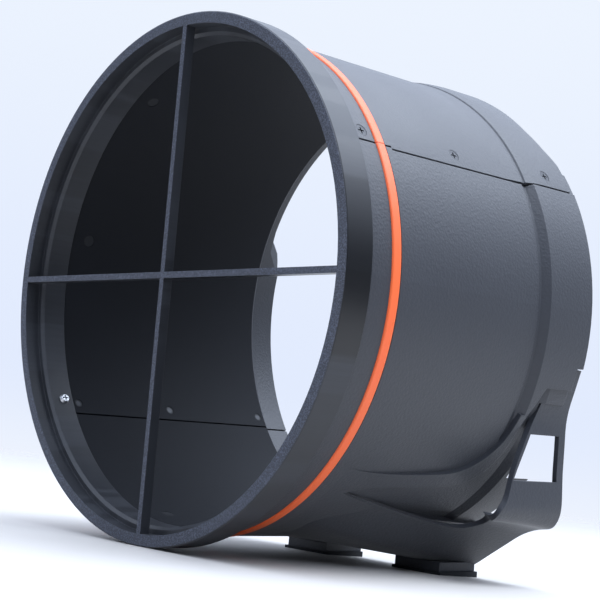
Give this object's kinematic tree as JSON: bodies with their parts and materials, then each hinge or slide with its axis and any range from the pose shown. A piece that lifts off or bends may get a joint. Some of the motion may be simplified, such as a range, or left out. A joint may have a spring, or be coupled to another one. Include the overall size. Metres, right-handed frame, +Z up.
{
  "type": "telescope dew shield",
  "caption": "Tubular dew shield for a schmidt cassegrain telescope, with a cross-vane front ring, screwed half shells, a coloured trim ring and a slotted scoop foot.",
  "frame": {"origin": "middle of the footprint, on the plane that the shield rests on", "axes": "+Z up; +Y to the rear, where the telescope enters; +X to the right. The tube axis leans 3 degrees nose down in the Y-Z plane."},
  "size_m": [0.25, 0.1826, 0.2548],
  "materials": {
    "ring_plastic": "textured black plastic",
    "shell_plastic": "fuzzy textured black plastic",
    "trim_plastic": "orange plastic with a soft sheen",
    "screw_steel": "black oxide",
    "ring_screw_steel": "plain zinc",
    "insert_steel": "black oxide",
    "pad_rubber": "matt black"
  },
  "bodies": {
    "root": {"front_ring_with_vanes": "ring_plastic", "upper_half_shell": "shell_plastic", "lower_half_shell": "shell_plastic", "trim_ring_upper": "trim_plastic", "trim_ring_lower": "trim_plastic", "foot_pad_right": "pad_rubber", "foot_pad_left": "pad_rubber", "right_screw_front": "screw_steel", "right_insert_front": "insert_steel", "right_screw_middle": "screw_steel", "right_insert_middle": "insert_steel", "right_screw_rear": "screw_steel", "right_insert_rear": "insert_steel", "right_ring_screw": "ring_screw_steel", "left_screw_front": "screw_steel", "left_insert_front": "insert_steel", "left_screw_middle": "screw_steel", "left_insert_middle": "insert_steel", "left_screw_rear": "screw_steel", "left_insert_rear": "insert_steel", "left_ring_screw": "ring_screw_steel", "grip_pad_top_left": "pad_rubber", "grip_pad_left": "pad_rubber", "grip_pad_top_right": "pad_rubber", "grip_pad_bottom_right": "pad_rubber", "grip_pad_right": "pad_rubber", "grip_pad_bottom_left": "pad_rubber"}
  },
  "joints": []
}
